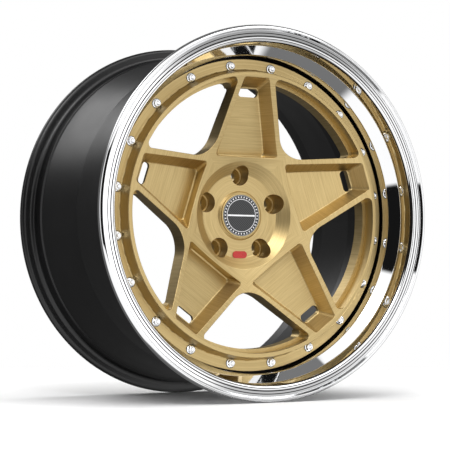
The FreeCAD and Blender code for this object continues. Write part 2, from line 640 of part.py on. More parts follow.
def make_cap_emblem():
    """Plain inset disc on the cap's face."""
    front_y = EMBLEM_SEAT_Y - EMBLEM_THICKNESS
    return ring([(0, EMBLEM_SEAT_Y, 0), (EMBLEM_RADIUS, EMBLEM_SEAT_Y, 0),
                 (EMBLEM_RADIUS, front_y, 0.4), (0, front_y, 0)])


def make_cap_spring_ring():
    """Wire ring that presses the cap's legs outwards."""
    radius = CAP_SKIRT_RADIUS - CAP_SKIRT_WALL - SPRING_RING_WIRE - CAP_CLEARANCE
    y = BOSS_TOP_Y + CAP_SKIRT_LENGTH - 3
    return Part.makeTorus(radius, SPRING_RING_WIRE, Vector(0, y, 0), AXIS)


# Tyre valve, pointing up from the lowest point of the well

def valve_outer_z():
    """Height of the flat that the grommet seats on, outside the well."""
    return -WELL_RADIUS + VALVE_SEAT_CUT


def valve_inner_z():
    """Height of the flat that the washer seats on, inside the well."""
    return -BARREL_BORE_RADIUS - VALVE_SEAT_CUT


def stem_base_z():
    """Height at which the stem's base meets the grommet."""
    return valve_outer_z() - GROMMET_THICKNESS


def stem_top_z():
    """Height of the stem's open end."""
    return stem_base_z() + STEM_LENGTH


def core_seat_z():
    """Height of the core body's lower end, where the seal closes the valve."""
    return stem_top_z() - CORE_TOP_SINK - CORE_BODY_LENGTH


def plunger_top_z():
    """Height of the plunger's upper face."""
    return core_seat_z() - SEAL_THICKNESS


def chamber_floor_z():
    """Height of the shoulder that the core's spring stands on."""
    return stem_top_z() - CORE_CHAMBER_DEPTH


def make_valve_grommet():
    """Rubber seal under the stem's base, with a collar that fills the rim's hole."""
    low = stem_base_z()
    bore = STEM_RADIUS + STEM_FIT
    return valve_ring([
        (bore, low, 0), (GROMMET_RADIUS, low, 0.6), (GROMMET_RADIUS, valve_outer_z(), 0.6),
        (VALVE_HOLE_RADIUS - STEM_FIT, valve_outer_z(), 0),
        (VALVE_HOLE_RADIUS - STEM_FIT, valve_inner_z() - 0.5, 0.3), (bore, valve_inner_z() - 0.5, 0),
    ])


def make_valve_stem():
    """Metal stem with a clamping base, a threaded tip and a chamber for the core."""
    base = stem_base_z()
    top = stem_top_z()
    shoulder = top - VALVE_CAP_SKIRT - 1
    return valve_ring([
        (STEM_BORE_RADIUS, base - STEM_BASE_THICKNESS, 0),
        (STEM_BASE_RADIUS, base - STEM_BASE_THICKNESS, 0.8),
        (STEM_BASE_RADIUS, base, 0.3), (STEM_RADIUS, base, 0),
        (STEM_RADIUS, shoulder, 0), (STEM_TIP_RADIUS, shoulder, 0),
        (STEM_TIP_RADIUS, top, 0.5), (CORE_CHAMBER_RADIUS, top, 0),
        (CORE_CHAMBER_RADIUS, chamber_floor_z(), 0), (STEM_BORE_RADIUS, chamber_floor_z(), 0),
    ])


def make_valve_washer():
    """Flat washer under the valve's nut."""
    low = valve_inner_z()
    high = low + WASHER_THICKNESS
    bore = STEM_RADIUS + STEM_FIT
    return valve_ring([(bore, low, 0), (WASHER_RADIUS, low, 0.2), (WASHER_RADIUS, high, 0.2),
                       (bore, high, 0)])


def make_valve_nut():
    """Hexagon nut that clamps the valve to the barrel."""
    low = valve_inner_z() + WASHER_THICKNESS
    corner_radius = 2 * (STEM_RADIUS + VALVE_NUT_WALL) / math.sqrt(3)
    corners = []
    for index in range(7):
        angle = math.pi * index / 3
        corners.append(Vector(corner_radius * math.cos(angle), VALVE_Y + corner_radius * math.sin(angle),
                              low))
    nut = Part.Face(Part.makePolygon(corners)).extrude(UP * VALVE_NUT_HEIGHT)
    bore = Part.makeCylinder(STEM_RADIUS + STEM_FIT, VALVE_NUT_HEIGHT, Vector(0, VALVE_Y, low))
    blunt = valve_ring([(0, low, 0), (corner_radius, low, 1), (corner_radius, low + VALVE_NUT_HEIGHT, 1),
                        (0, low + VALVE_NUT_HEIGHT, 0)])
    return nut.common(blunt).cut(bore)


def make_valve_core_body():
    """Plug in the stem's chamber that guides the pin and carries the valve seat."""
    top = stem_top_z() - CORE_TOP_SINK
    outer = CORE_CHAMBER_RADIUS - STEM_FIT
    guide = PIN_RADIUS + STEM_FIT
    wide = PLUNGER_RADIUS - 0.6
    return valve_ring([(wide, core_seat_z(), 0), (outer, core_seat_z(), 0.3), (outer, top, 0.3),
                       (guide, top, 0), (guide, top - CORE_BRIDGE, 0), (wide, top - CORE_BRIDGE, 0)])


def make_valve_core_pin():
    """Pin that opens the valve when it is pressed, with its plunger."""
    plunger_low = plunger_top_z() - PLUNGER_THICKNESS
    return valve_ring([(0, plunger_low, 0), (PLUNGER_RADIUS, plunger_low, 0.2),
                       (PLUNGER_RADIUS, plunger_top_z(), 0), (PIN_RADIUS, plunger_top_z(), 0),
                       (PIN_RADIUS, stem_top_z() - PIN_TOP_SINK, 0.2),
                       (0, stem_top_z() - PIN_TOP_SINK, 0)])


def make_valve_core_seal():
    """Rubber ring on the plunger that closes against the core body."""
    bore = PIN_RADIUS + STEM_FIT
    return valve_ring([(bore, plunger_top_z(), 0), (PLUNGER_RADIUS, plunger_top_z(), 0),
                       (PLUNGER_RADIUS, core_seat_z(), 0.2), (bore, core_seat_z(), 0)])


def make_valve_core_spring():
    """Coil spring between the chamber's shoulder and the plunger."""
    low = chamber_floor_z() + SPRING_WIRE_RADIUS
    high = plunger_top_z() - PLUNGER_THICKNESS - SPRING_WIRE_RADIUS
    radius = PLUNGER_RADIUS
    coil = Part.makeHelix((high - low) / SPRING_TURNS, high - low, radius)
    coil.translate(Vector(0, VALVE_Y, low))
    start = Vector(radius, VALVE_Y, low)
    section = Part.Wire(Part.makeCircle(SPRING_WIRE_RADIUS, start, AXIS))
    return Part.Wire(coil.Edges).makePipeShell([section], True, True)


def make_valve_cap_gasket():
    """Rubber disc inside the valve cap that seals the stem's end."""
    low = stem_top_z()
    high = low + CAP_GASKET_THICKNESS
    outer = STEM_TIP_RADIUS - CAP_GASKET_MARGIN
    return valve_ring([(STEM_BORE_RADIUS, low, 0), (outer, low, 0.2), (outer, high, 0),
                       (STEM_BORE_RADIUS, high, 0)])


def make_valve_cap():
    """Ribbed screw cap over the stem's tip."""
    bore = STEM_TIP_RADIUS + STEM_FIT
    low = stem_top_z() - VALVE_CAP_SKIRT
    ceiling = stem_top_z() + CAP_GASKET_THICKNESS
    top = ceiling + VALVE_CAP_ROOF
    cap = valve_ring([(bore, low, 0), (VALVE_CAP_RADIUS, low, 0.3), (VALVE_CAP_RADIUS, top, 1.2),
                      (0, top, 0), (0, ceiling, 0), (bore, ceiling, 0)])
    groove = Part.makeCylinder(0.35, top - low - 3, Vector(VALVE_CAP_RADIUS + 0.1, VALVE_Y, low - 0.5))
    grooves = []
    for index in range(VALVE_CAP_RIBS):
        copy = groove.copy()
        copy.rotate(Vector(0, VALVE_Y, 0), UP, index * 360.0 / VALVE_CAP_RIBS)
        grooves.append(copy)
    return cap.cut(grooves)


PARTS = {
    "centre_disc": make_centre_disc,
    "outer_lip": make_outer_lip,
    "inner_barrel": make_inner_barrel,
    "rim_sealant": make_rim_sealant,
    "assembly_bolts": make_assembly_bolts,
    "assembly_nuts": make_assembly_nuts,
    "cap_body": make_cap_body,
    "cap_emblem": make_cap_emblem,
    "cap_spring_ring": make_cap_spring_ring,
    "hub_badge": make_hub_badge,
    "valve_stem": make_valve_stem,
    "valve_grommet": make_valve_grommet,
    "valve_washer": make_valve_washer,
    "valve_nut": make_valve_nut,
    "valve_core_body": make_valve_core_body,
    "valve_core_pin": make_valve_core_pin,
    "valve_core_seal": make_valve_core_seal,
    "valve_core_spring": make_valve_core_spring,
    "valve_cap": make_valve_cap,
    "valve_cap_gasket": make_valve_cap_gasket,
}

os.makedirs("parts", exist_ok=True)
for name, make in PARTS.items():
    shape = make()
    print(name, shape.isValid(), len(shape.Solids), round(shape.Volume / 1000, 3), "cm3")
    shape.exportStep("parts/" + name + ".step")
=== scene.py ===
# %% [markdown]
# # A three-piece forged racing wheel
# The wheel is bolted together from three aluminium pieces: a gold five-spoke centre, a polished
# outer lip and a black inner barrel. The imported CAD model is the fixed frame, in metres: the
# wheel's axis is Y, its street side faces -Y and +Z is up. We load it first and note its size,
# because everything that is added has to stay inside it.

import math

import bmesh
import bpy
from mathutils import Matrix, Vector


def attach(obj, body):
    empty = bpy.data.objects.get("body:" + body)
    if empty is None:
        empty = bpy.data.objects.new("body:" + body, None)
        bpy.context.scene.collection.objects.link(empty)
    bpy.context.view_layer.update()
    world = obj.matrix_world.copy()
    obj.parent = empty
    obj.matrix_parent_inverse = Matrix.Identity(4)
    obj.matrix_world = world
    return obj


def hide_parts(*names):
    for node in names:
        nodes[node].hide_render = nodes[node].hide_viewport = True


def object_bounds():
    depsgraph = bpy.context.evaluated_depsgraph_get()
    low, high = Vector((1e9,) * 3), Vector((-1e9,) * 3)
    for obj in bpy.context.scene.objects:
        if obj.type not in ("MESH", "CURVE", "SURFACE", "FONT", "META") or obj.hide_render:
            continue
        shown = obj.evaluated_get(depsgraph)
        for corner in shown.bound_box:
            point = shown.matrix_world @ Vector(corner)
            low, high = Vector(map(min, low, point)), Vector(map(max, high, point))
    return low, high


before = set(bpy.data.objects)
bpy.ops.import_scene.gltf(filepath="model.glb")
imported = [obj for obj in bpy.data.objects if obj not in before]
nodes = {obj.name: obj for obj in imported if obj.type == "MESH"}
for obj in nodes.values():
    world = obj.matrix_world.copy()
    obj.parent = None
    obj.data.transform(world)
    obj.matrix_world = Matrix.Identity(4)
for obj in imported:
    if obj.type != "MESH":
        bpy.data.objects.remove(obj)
cad_low, cad_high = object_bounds()
scene = bpy.context.scene
print("CAD box", [round(v, 4) for v in cad_low], [round(v, 4) for v in cad_high])

# %% [markdown]
# ## Camera
# The wheel is seen from the street side, from a little to the left and almost level with its hub.
# A long lens keeps the rim's two edges nearly the same size, as a catalogue picture has it. The
# camera is placed by its angle, its height and its distance, and then turned towards the wheel.

# %% Camera
MM = 0.001
VIEW_AZIMUTH = math.radians(-29.295)
VIEW_ELEVATION = math.radians(-2.418)
VIEW_DISTANCE = 2.4592
VIEW_TARGET = Vector((0.00355, 0, -0.01206))
LENS = 128.8

camera_data = bpy.data.cameras.new("camera")
camera_data.lens = LENS
camera = bpy.data.objects.new("camera", camera_data)
scene.collection.objects.link(camera)
away = Vector((math.sin(VIEW_AZIMUTH) * math.cos(VIEW_ELEVATION),
               -math.cos(VIEW_AZIMUTH) * math.cos(VIEW_ELEVATION),
               math.sin(VIEW_ELEVATION)))
camera.location = VIEW_TARGET + away * VIEW_DISTANCE
camera.rotation_euler = (-away).to_track_quat("-Z", "Y").to_euler()
scene.camera = camera
print("camera at", [round(v, 3) for v in camera.location])

# %% [markdown]
# ## Small tools for node trees
# The studio, the finishes and the repeated pieces are all node trees. A few helpers keep them
# readable: one adds a node, one links two sockets or sets a plain value, and the others are the
# sums and soft steps that come up again and again.

# %% Nodes and links
def add_node(tree, kind, **settings):
    """A new node with its properties set."""
    node = tree.nodes.new(kind)
    for label, value in settings.items():
        setattr(node, label, value)
    return node


def connect(tree, source, target):
    """Links a source to a target socket, or sets the target when the source is a plain value."""
    if isinstance(source, (int, float, tuple)):
        target.default_value = source
    else:
        tree.links.new(source, target)


# %% Sums and soft steps
def calculate(tree, operation, *values):
    """A Math node's result."""
    node = add_node(tree, "ShaderNodeMath", operation=operation)
    for socket, value in zip(node.inputs, values):
        connect(tree, value, socket)
    return node.outputs[0]


def ramp_between(tree, value, start, end, low=0.0, high=1.0):
    """Goes smoothly from low to high as the value goes from start to end."""
    node = add_node(tree, "ShaderNodeMapRange", interpolation_type="SMOOTHSTEP")
    for socket, number in zip(node.inputs, (value, start, end, low, high)):
        connect(tree, number, socket)
    return node.outputs[0]


def window(tree, value, start, end, soft):
    """1 between start and end, fading to 0 over the soft width outside both."""
    rise = ramp_between(tree, value, start - soft, start)
    fall = ramp_between(tree, value, end, end + soft, 1.0, 0.0)
    return calculate(tree, "MULTIPLY", rise, fall)


def cover(tree, under, mask, over):
    """Goes from one value to another with the mask."""
    node = add_node(tree, "ShaderNodeMix", data_type="FLOAT")
    connect(tree, mask, node.inputs["Factor"])
    connect(tree, under, node.inputs["A"])
    connect(tree, over, node.inputs["B"])
    return node.outputs["Result"]


# %% [markdown]
# ## Studio
# Polished metal shows the room around it, so the room is made with care. It is a white studio
# with a soft light high on the left, a dark opening on the left where the viewer stands, bright
# and grey panels on the right, a dark ceiling, a grey floor zone under the wheel, and darkness
# behind with one soft light for the barrel. All of it is painted on the world by direction, in
# degrees round the wheel from the street side and above the horizon. Camera rays see plain white
# instead.

# %% Directions on the world
world = bpy.data.worlds.new("studio")
scene.world = world
world.use_nodes = True
sky = world.node_tree
sky.nodes.clear()
split = add_node(sky, "ShaderNodeSeparateXYZ")
connect(sky, add_node(sky, "ShaderNodeTexCoord").outputs["Generated"], split.inputs[0])
east, north, height = split.outputs
azimuth = calculate(sky, "DEGREES", calculate(sky, "ARCTAN2", east,
                                              calculate(sky, "MULTIPLY", north, -1.0)))
elevation = calculate(sky, "DEGREES", calculate(sky, "ARCSINE", height))
aside = calculate(sky, "ABSOLUTE", azimuth)
steep = calculate(sky, "ABSOLUTE", elevation)
print("world nodes", len(sky.nodes))

# %% Paint the room
ROOM_LIGHT = 1.1
CEILING_LIGHT, CEILING_EDGE = 0.2, (58.0, 64.0)
GROUND_LIGHT, GROUND_EDGE = 0.19, (-63.0, -58.0)
BACK_LIGHT, BACK_EDGE = 0.12, (98.0, 122.0)


def patch(turns, heights, soft_turn, soft_height):
    """A soft-edged patch of the world between two azimuths and two elevations."""
    return calculate(sky, "MULTIPLY", window(sky, azimuth, *turns, soft_turn),
                     window(sky, elevation, *heights, soft_height))


light = ROOM_LIGHT
light = cover(sky, light, ramp_between(sky, elevation, *CEILING_EDGE), CEILING_LIGHT)
light = cover(sky, light, ramp_between(sky, elevation, *GROUND_EDGE, 1.0, 0.0), GROUND_LIGHT)
light = cover(sky, light, ramp_between(sky, aside, *BACK_EDGE), BACK_LIGHT)

# %% Soft panels
# Each panel is two azimuths, two elevations, how far it fades both ways, and its light.
PANELS = {
    "barrel light": ((-172.0, -152.0), (32.0, 44.0), 24.0, 15.0, 2.5),
    "upper grey": ((14.0, 60.0), (17.0, 30.0), 8.0, 6.0, 0.4),
    "upper panel": ((12.0, 60.0), (38.0, 58.0), 6.0, 4.0, 2.9),
    "lower grey": ((20.0, 75.0), (-52.0, -14.0), 10.0, 8.0, 0.55),
    "front panel": ((50.0, 80.0), (-26.0, 12.0), 10.0, 8.0, 1.2),
    "middle panel": ((-6.0, 22.0), (-16.0, 12.0), 6.0, 6.0, 1.7),
    "softbox": ((-75.0, 8.0), (32.0, 75.0), 6.0, 3.0, 1.2),
    "dark opening": ((-86.0, -24.0), (-12.0, 28.0), 5.0, 2.5, 0.008),
}

for *edges, level in PANELS.values():
    light = cover(sky, light, patch(*edges), level)
print("panels:", ", ".join(PANELS))

# %% Slanted panels at the sides
SIDE_PANELS = (((80.0, 89.0), 0.01), ((90.0, 92.5), 1.3), ((93.3, 93.9), 0.01), ((94.5, 96.5), 1.3),
               ((97.5, 112.0), 0.01), ((113.0, 115.0), 1.2))
SIDE_SOFT = 0.6
SIDE_STEEP = (36.0, 40.0)

for turns, level in SIDE_PANELS:
    slash = calculate(sky, "MULTIPLY", window(sky, azimuth, *turns, SIDE_SOFT),
                      ramp_between(sky, steep, *SIDE_STEEP))
    light = cover(sky, light, slash, level)

# %% Join the world together
seen = add_node(sky, "ShaderNodeLightPath").outputs["Is Camera Ray"]
background = add_node(sky, "ShaderNodeBackground")
background.inputs["Color"].default_value = (1, 1, 1, 1)
connect(sky, cover(sky, light, seen, 1.0), background.inputs["Strength"])
connect(sky, background.outputs[0], add_node(sky, "ShaderNodeOutputWorld").inputs["Surface"])
scene.view_settings.view_transform = "Standard"
print("side panels", len(SIDE_PANELS))

# %% [markdown]
# ## Floor and lamps
# The wheel stands on a pale floor that is nearly as bright as the background and fades out away
# from the wheel, so no edge shows. The floor is kept out of mirror reflections, because the
# painted world already has a ground. Two soft lamps above give the floor its brightness and the
# wheel its shadow.

# %% Floor
FLOOR_SIZE = 3.6

floor_mesh = bpy.data.meshes.new("floor")
half = FLOOR_SIZE / 2
floor_mesh.from_pydata([(-half, -half, cad_low.z), (half, -half, cad_low.z),
                        (half, half, cad_low.z), (-half, half, cad_low.z)], [], [(0, 1, 2, 3)])
floor = bpy.data.objects.new("floor", floor_mesh)
floor.visible_glossy = False
scene.collection.objects.link(floor)
print("floor at", round(cad_low.z, 4))


# %% Lamps
def soft_lamp(name, place, size, power, in_mirrors):
    """A round soft lamp that faces the wheel."""
    data = bpy.data.lights.new(name, "AREA")
    data.shape = "DISK"
    data.size = size
    data.energy = power
    lamp = bpy.data.objects.new(name, data)
    lamp.location = place
    lamp.rotation_euler = (-Vector(place)).to_track_quat("-Z", "Y").to_euler()
    lamp.visible_glossy = in_mirrors
    scene.collection.objects.link(lamp)
    print(name, "lamp", power, "W")


soft_lamp("key", place=(-1.6, -2.2, 2.6), size=1.6, power=40, in_mirrors=True)
soft_lamp("top", place=(0.2, 0.3, 3.4), size=2.4, power=62, in_mirrors=False)

# %% [markdown]
# ## Shader groups
# Four effects show on more than one finish, so each is a node group that is built once. Turned
# lines are the fine rings that a lathe leaves round the axis. Brushed lines run across each
# spoke. Mottle is the slight cloudiness of any anodised, painted or moulded surface. Hatch is the
# diagonal weave under a clear coat. All read the Object coordinates, so the pattern stays on its
# piece.

# %% Group builder
FLOAT = "NodeSocketFloat"
VECTOR = "NodeSocketVector"


def new_group(name, inputs, outputs):
    """An empty shader group with named inputs (label, kind, value) and float outputs."""
    group = bpy.data.node_groups.new(name, "ShaderNodeTree")
    for label, kind, value in inputs:
        socket = group.interface.new_socket(label, in_out="INPUT", socket_type=kind)
        if value is not None:
            socket.default_value = value
    for label in outputs:
        group.interface.new_socket(label, in_out="OUTPUT", socket_type=FLOAT)
    print("shader group", name)
    return group, group.nodes.new("NodeGroupInput"), group.nodes.new("NodeGroupOutput")


# %% Noise, vectors and polar places
def noise(tree, vector, scale, detail=2.0, rough=0.5):
    """A noise texture's value at a vector."""
    node = add_node(tree, "ShaderNodeTexNoise")
    for label, value in (("Vector", vector), ("Scale", scale), ("Detail", detail),
                         ("Roughness", rough)):
        connect(tree, value, node.inputs[label])
    return node.outputs["Fac"]


def combine(tree, x, y, z):
    """A vector from three values."""
    node = add_node(tree, "ShaderNodeCombineXYZ")
    for socket, value in zip(node.inputs, (x, y, z)):
        connect(tree, value, socket)
    return node.outputs[0]


def polar(tree, vector):
    """Radius from the wheel's axis, angle round it in radians, and place along it."""
    parts = add_node(tree, "ShaderNodeSeparateXYZ")
    connect(tree, vector, parts.inputs[0])
    x, y, z = parts.outputs
    flat = add_node(tree, "ShaderNodeVectorMath", operation="LENGTH")
    connect(tree, combine(tree, x, 0.0, z), flat.inputs[0])
    return flat.outputs["Value"], calculate(tree, "ARCTAN2", z, x), y


# %% Turned lines
LINE_WANDER = 1.3

turned_lines, group_in, group_out = new_group(
    "turned_lines", [("Vector", VECTOR, None), ("Spacing", FLOAT, 0.0006)], ["Lines"])
radius, angle, along = polar(turned_lines, group_in.outputs["Vector"])
step = group_in.outputs["Spacing"]
wander = calculate(turned_lines, "MULTIPLY", calculate(turned_lines, "SINE", angle), LINE_WANDER)
spot = combine(turned_lines, calculate(turned_lines, "DIVIDE", radius, step),
               calculate(turned_lines, "DIVIDE", along, step), wander)
connect(turned_lines, noise(turned_lines, spot, scale=1.0, detail=3.0, rough=0.6),
        group_out.inputs["Lines"])

# %% Brushed lines
SPOKE_PITCH = math.radians(72)
TOP_SPOKE = math.radians(90)

brushed_lines, group_in, group_out = new_group(
    "brushed_lines",
    [("Vector", VECTOR, None), ("Spacing", FLOAT, 0.0006), ("Length", FLOAT, 0.05)],
    ["Lines"])
radius, angle, along = polar(brushed_lines, group_in.outputs["Vector"])
offset = calculate(brushed_lines, "SUBTRACT", angle, TOP_SPOKE)
spoke = calculate(brushed_lines, "ROUND", calculate(brushed_lines, "DIVIDE", offset, SPOKE_PITCH))
turn = calculate(brushed_lines, "SUBTRACT", offset,
                 calculate(brushed_lines, "MULTIPLY", spoke, SPOKE_PITCH))
up_spoke = calculate(brushed_lines, "MULTIPLY", radius, calculate(brushed_lines, "COSINE", turn))
across = calculate(brushed_lines, "MULTIPLY", radius, calculate(brushed_lines, "SINE", turn))
spot = combine(brushed_lines,
               calculate(brushed_lines, "DIVIDE", up_spoke, group_in.outputs["Spacing"]),
               calculate(brushed_lines, "DIVIDE", across, group_in.outputs["Length"]),
               calculate(brushed_lines, "ADD", spoke,
                         calculate(brushed_lines, "DIVIDE", along, group_in.outputs["Length"])))
connect(brushed_lines, noise(brushed_lines, spot, scale=1.0, detail=4.0, rough=0.7),
        group_out.inputs["Lines"])

# %% Mottle
mottle, group_in, group_out = new_group(
    "mottle", [("Vector", VECTOR, None), ("Cloud", FLOAT, 30.0), ("Grain", FLOAT, 900.0)],
    ["Cloud", "Grain"])
for label, detail in (("Cloud", 2.0), ("Grain", 3.0)):
    connect(mottle, noise(mottle, group_in.outputs["Vector"], group_in.outputs[label], detail),
            group_out.inputs[label])

# %% Hatch
WEAVE_SOFT = 0.6

hatch, group_in, group_out = new_group(
    "hatch", [("Vector", VECTOR, None), ("Pitch", FLOAT, 0.002)], ["Weave"])
parts = add_node(hatch, "ShaderNodeSeparateXYZ")
connect(hatch, group_in.outputs["Vector"], parts.inputs[0])
slant = calculate(hatch, "ADD", parts.outputs["X"], parts.outputs["Z"])
turns = calculate(hatch, "DIVIDE", slant, group_in.outputs["Pitch"])
wave = calculate(hatch, "SINE", calculate(hatch, "MULTIPLY", turns, math.tau))
connect(hatch, ramp_between(hatch, wave, -WEAVE_SOFT, WEAVE_SOFT), group_out.inputs["Weave"])

# %% [markdown]
# ## Material helpers
# Every finish starts the same way: a Principled shader, its constant sockets set on the shader
# itself, and the Object coordinates. The helpers below do that, place a shader group, blend two
# colours and raise the surface by a height.


# %% Start a material
def new_material(name, **sockets):
    """A material whose Principled shader has these sockets set, and its Object coordinates."""
    made = bpy.data.materials.new(name)
    made.use_nodes = True
    tree = made.node_tree
    shader = tree.nodes["Principled BSDF"]
    for label, value in sockets.items():
        shader.inputs[label.replace("_", " ")].default_value = value
    place = add_node(tree, "ShaderNodeTexCoord").outputs["Object"]
    print("material", name)
    return made, tree, shader, place


def use_group(tree, group, vector, **values):
    """A shader group placed in a material with its own values."""
    node = add_node(tree, "ShaderNodeGroup", node_tree=group)
    connect(tree, vector, node.inputs["Vector"])
    for label, value in values.items():
        node.inputs[label].default_value = value
    return node


# %% Colours and bumps
def blend_colours(tree, share, first, second):
    """Goes from the first colour to the second with the share."""
    node = add_node(tree, "ShaderNodeMix", data_type="RGBA")
    connect(tree, share, node.inputs[0])
    for socket, tint in zip(node.inputs[6:8], (first, second)):
        connect(tree, tint, socket)
    return node.outputs[2]


def bump(tree, shader, height, distance, strength=1.0):
    """Raises the shader's surface by a height, in metres."""
    node = add_node(tree, "ShaderNodeBump")
    node.inputs["Strength"].default_value = strength
    node.inputs["Distance"].default_value = distance
    connect(tree, height, node.inputs["Height"])
    connect(tree, node.outputs["Normal"], shader.inputs["Normal"])


def colour(red, green, blue):
    """A linear colour from display values between 0 and 255."""
    return tuple((v / 255) ** 2.2 for v in (red, green, blue)) + (1.0,)


# %% [markdown]
# ## Gold anodised forging
# The centre is brushed and then anodised gold, with a satin sheen. On the spokes the brushing
# runs from side to side, and on the hub and the bolting ring it runs round the axis, so the
# radius picks between the two groups of lines. Fine lines alone vanish at a distance, so a
# coarser set is added.

# %% Gold
GOLD = colour(205, 182, 131)
GOLD_DARK = colour(184, 160, 111)
HUB_EDGE = 80.5 * MM
CREST_EDGE = 201.0 * MM
EDGE_FADE = 1.5 * MM
FINE_LINES, COARSE_LINES = (0.7 * MM, 50 * MM), (2.2 * MM, 110 * MM)
FINE_SHARE = 0.65
LINE_CONTRAST = (0.36, 0.64)
SATIN = (0.4, 0.47)
BRUSH_HEIGHT = 0.03 * MM

gold, tree, shader, place = new_material("gold_anodised", Metallic=1.0)
radius, angle, along = polar(tree, place)
on_spokes = window(tree, radius, HUB_EDGE, CREST_EDGE, EDGE_FADE)
sets = []
for spacing, length in (FINE_LINES, COARSE_LINES):
    rings = use_group(tree, turned_lines, place, Spacing=spacing)
    strokes = use_group(tree, brushed_lines, place, Spacing=spacing, Length=length)
    sets.append(cover(tree, rings.outputs["Lines"], on_spokes, strokes.outputs["Lines"]))
fine, coarse = sets
clouds = use_group(tree, mottle, place, Cloud=14.0, Grain=1400.0)
lines = calculate(tree, "ADD", calculate(tree, "MULTIPLY", fine, FINE_SHARE),
                  calculate(tree, "MULTIPLY", coarse, 1 - FINE_SHARE))
tone = ramp_between(tree, lines, *LINE_CONTRAST)
connect(tree, blend_colours(tree, tone, GOLD_DARK, GOLD), shader.inputs["Base Color"])
connect(tree, ramp_between(tree, clouds.outputs["Cloud"], 0.3, 0.7, *SATIN),
        shader.inputs["Roughness"])
height = calculate(tree, "ADD", lines, calculate(tree, "MULTIPLY", clouds.outputs["Grain"], 0.1))
bump(tree, shader, height, BRUSH_HEIGHT, strength=0.35)

# %% [markdown]
# ## Polished lip
# The lip is turned and polished until it is a mirror. What is left of the turning is a trace of
# rings that only stretches the reflections a little, so the bump is far below a hair's breadth.
# Painted shade: in the narrow gap behind the centre's edge the colour is painted dark and the
# surface made dull, and dark lines are painted round the face in the same way.

# %% Polished aluminium
GAP_MOUTH = -85.5 * MM
GAP_WALL = 235.5 * MM
FACE_DEPTH = -139.0 * MM
# Painted dark lines on the face, as middle and half width in millimetres: two painted dark
# reflection lines nearer the dish, then painted shade in the two grooves.
FACE_SHADE_LINES = ((249.4, 0.5), (253.2, 0.45), (257.0, 0.8), (261.4, 0.6))
# Painted shade colour for the gap and for the dark lines on the face.
PAINTED_SHADE_COLOUR = colour(46, 43, 42)
SHADE_ROUGHNESS = 0.45
MIRROR = (0.02, 0.05)
FADE = 0.5 * MM

chrome, tree, shader, place = new_material("polished_aluminium", Metallic=1.0)
rings = use_group(tree, turned_lines, place, Spacing=0.0009)
clouds = use_group(tree, mottle, place, Cloud=9.0, Grain=500.0)
bright = blend_colours(tree, clouds.outputs["Cloud"], colour(236, 237, 239), colour(247, 247, 247))
radius, angle, along = polar(tree, place)
# Painted shade in the narrow gap behind the centre's edge.
gap_shade = calculate(tree, "MULTIPLY", ramp_between(tree, along, GAP_MOUTH, GAP_MOUTH + 2 * MM),
                   ramp_between(tree, radius, GAP_WALL, GAP_WALL + FADE, 1.0, 0.0))
painted_shade = gap_shade
on_face = ramp_between(tree, along, FACE_DEPTH, FACE_DEPTH + FADE, 1.0, 0.0)
# Painted dark lines: painted shade in the two grooves and two painted dark reflection lines nearer
# the dish.
for middle, half in FACE_SHADE_LINES:
    line = window(tree, radius, (middle - half) * MM, (middle + half) * MM, 0.1 * MM)
    painted_shade = calculate(tree, "MAXIMUM", painted_shade, calculate(tree, "MULTIPLY", line, on_face))
connect(tree, blend_colours(tree, painted_shade, bright, PAINTED_SHADE_COLOUR), shader.inputs["Base Color"])
polish = ramp_between(tree, rings.outputs["Lines"], 0.3, 0.8, *MIRROR)
connect(tree, cover(tree, polish, painted_shade, SHADE_ROUGHNESS), shader.inputs["Roughness"])
bump(tree, shader, rings.outputs["Lines"], 0.001 * MM, strength=0.3)

# %% [markdown]
# ## Satin black barrel
# The inner barrel is turned and then coated in satin black. A coat hides the turning but has a
# very fine grain of its own, and it spreads a highlight softly over the curve of the well.

# %% Satin black
black, tree, shader, place = new_material("satin_black", Specular_IOR_Level=0.55)
rings = use_group(tree, turned_lines, place, Spacing=0.0011)
clouds = use_group(tree, mottle, place, Cloud=18.0, Grain=1100.0)
connect(tree, blend_colours(tree, clouds.outputs["Cloud"], colour(12, 12, 13), colour(19, 19, 20)),
        shader.inputs["Base Color"])
connect(tree, ramp_between(tree, clouds.outputs["Cloud"], 0.2, 0.8, 0.3, 0.38),
        shader.inputs["Roughness"])
height = calculate(tree, "ADD", clouds.outputs["Grain"],
                   calculate(tree, "MULTIPLY", rings.outputs["Lines"], 0.4))
bump(tree, shader, height, 0.008 * MM, strength=0.5)

# %% [markdown]
# ## Small metals
# Bolts, nuts, valve parts and springs are metals that differ only in colour and polish. One
# function makes them all: turned lines move the polish, and clouds move the colour.


# %% Metals
METAL_GRAIN = 0.004 * MM


def metal(name, dark, bright, polish, spacing):
    """A metal between two colours, with its roughness between two values."""
    made, tree, shader, place = new_material(name, Metallic=1.0)
    rings = use_group(tree, turned_lines, place, Spacing=spacing)
    clouds = use_group(tree, mottle, place, Cloud=120.0, Grain=2500.0)
    connect(tree, blend_colours(tree, clouds.outputs["Cloud"], dark, bright),
            shader.inputs["Base Color"])
    connect(tree, ramp_between(tree, rings.outputs["Lines"], 0.3, 0.7, *polish),
            shader.inputs["Roughness"])
    bump(tree, shader, clouds.outputs["Grain"], METAL_GRAIN, strength=0.5)
    return made


bolt_steel = metal("bolt_steel", colour(214, 215, 218), colour(246, 246, 246),
                   polish=(0.08, 0.16), spacing=0.0008)
valve_metal = metal("valve_metal", colour(196, 198, 202), colour(226, 227, 229),
                    polish=(0.16, 0.28), spacing=0.0005)
spring_steel = metal("spring_steel", colour(150, 152, 156), colour(186, 188, 190),
                     polish=(0.28, 0.4), spacing=0.0004)
core_brass = metal("core_brass", colour(184, 148, 84), colour(214, 180, 112),
                   polish=(0.22, 0.34), spacing=0.0004)
cap_metal = metal("valve_cap_metal", colour(34, 34, 36), colour(52, 52, 55),
                  polish=(0.25, 0.38), spacing=0.0006)


# %% [markdown]
# ## Rubber, paint and print
# The grommet, gaskets and sealant are dull and grainy. The badge is glossy red enamel. The cap's
# emblem is a diagonal weave under a clear coat, and its print is pale silver.

